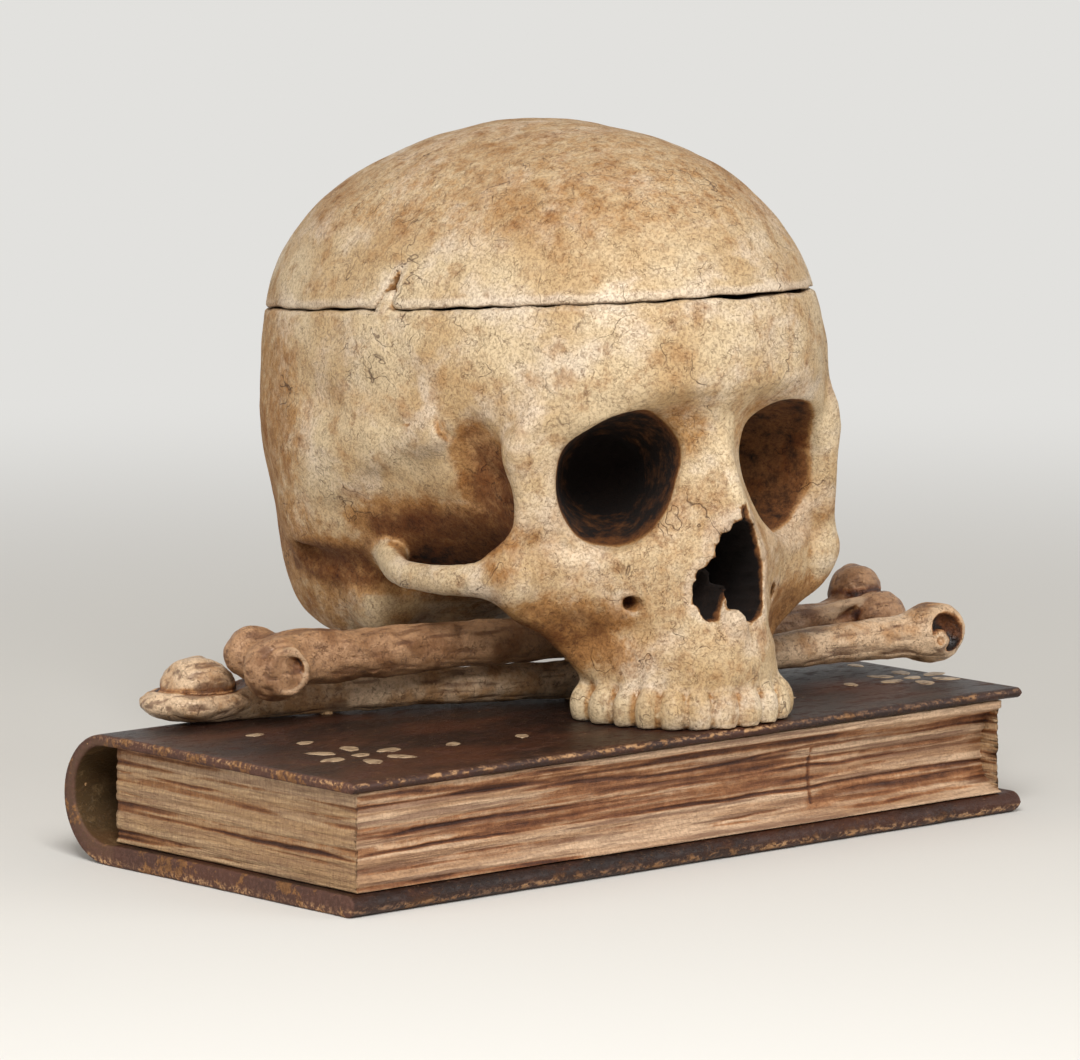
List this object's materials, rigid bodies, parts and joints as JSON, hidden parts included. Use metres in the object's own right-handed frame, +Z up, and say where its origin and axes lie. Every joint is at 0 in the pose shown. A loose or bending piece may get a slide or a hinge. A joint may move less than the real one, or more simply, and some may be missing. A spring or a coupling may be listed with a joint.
{
  "type": "carved wooden skull on a book",
  "caption": "Carved and painted wooden skull with a lift-off crown, resting on crossed bones and a closed book.",
  "frame": {"origin": "centre of the book's underside, on the surface that it rests on", "axes": "+X along the book towards its far end, -Y towards the face and the book's open edge, +Z up"},
  "size_m": [0.2603, 0.1944, 0.1994],
  "materials": {
    "bone_paint": "aged cream paint over wood, satin, crackled",
    "shaft_paint": "aged ochre paint over wood, satin",
    "cover_stain": "dark brown glossy stain, worn golden at the edges",
    "page_stain": "tan wood with dark brown scored lines",
    "plain_wood": "bare turned wood"
  },
  "bodies": {
    "base": {"lower_board": "cover_stain", "upper_board": "cover_stain", "book_spine": "cover_stain", "page_block": "page_stain", "lower_bone": "shaft_paint", "upper_bone": "shaft_paint", "crossing_dowel": "plain_wood", "front_dowel": "plain_wood", "bone_peg": "plain_wood", "cranium": "bone_paint"},
    "crown": {"skull_cap": "bone_paint"}
  },
  "joints": [
    {"name": "crown_lift", "type": "slide", "parent": "base", "child": "crown", "axis": [0, 0, 1], "range_m": [0, 0.1]}
  ]
}
